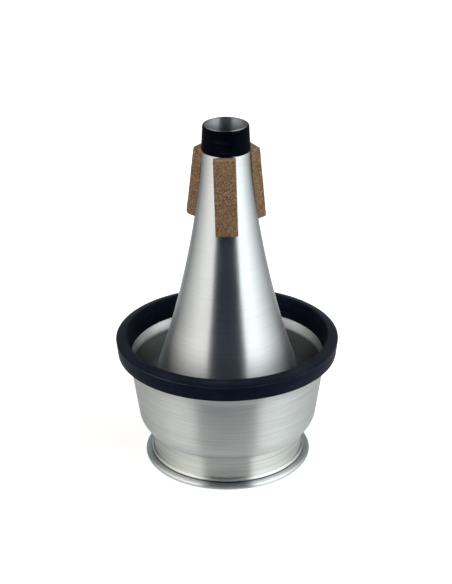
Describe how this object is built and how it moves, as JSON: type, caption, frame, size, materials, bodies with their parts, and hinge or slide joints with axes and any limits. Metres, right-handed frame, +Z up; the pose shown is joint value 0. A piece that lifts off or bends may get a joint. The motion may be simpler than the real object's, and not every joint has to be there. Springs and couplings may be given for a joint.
{
  "type": "trumpet cup mute",
  "caption": "Cup mute for a brass bell: spun cone with hemmed throat, cork strips and a folded base, and a rubber-rimmed cup that slides and turns on it.",
  "frame": {"origin": "on the mute's axis at the flat ring under the base, on which the mute stands", "axes": "+Z up the axis to the throat, -Y towards the front cork strip, +X to the right seen from the front"},
  "size_m": [0.1198, 0.1198, 0.1908],
  "materials": {
    "cone_aluminium": "spun, fine rings round the axis",
    "cap_aluminium": "spun, fine rings round the axis",
    "cup_aluminium": "spun, fine rings round the axis",
    "black_sleeve": "satin black sleeve",
    "black_rubber": "satin moulded rubber",
    "liner_rubber": "matt rubber liner",
    "cork": "agglomerated cork"
  },
  "bodies": {
    "mute_body": {"cone_shell": "cone_aluminium", "throat_collar": "black_sleeve", "cork_strip_front": "cork", "cork_strip_right": "cork", "cork_strip_left": "cork", "base_cap": "cap_aluminium"},
    "cup_grip": {"grip_ring": "liner_rubber"},
    "cup": {"cup_shell": "cup_aluminium", "rubber_rim": "black_rubber"}
  },
  "joints": [
    {"name": "cup_slide", "type": "slide", "parent": "mute_body", "child": "cup_grip", "axis": [0, 0, 1], "range_m": [0, 0.2]},
    {"name": "cup_turn", "type": "hinge", "parent": "cup_grip", "child": "cup", "pos_m": [0, 0, 0.01], "axis": [0, 0, 1], "continuous": true}
  ]
}
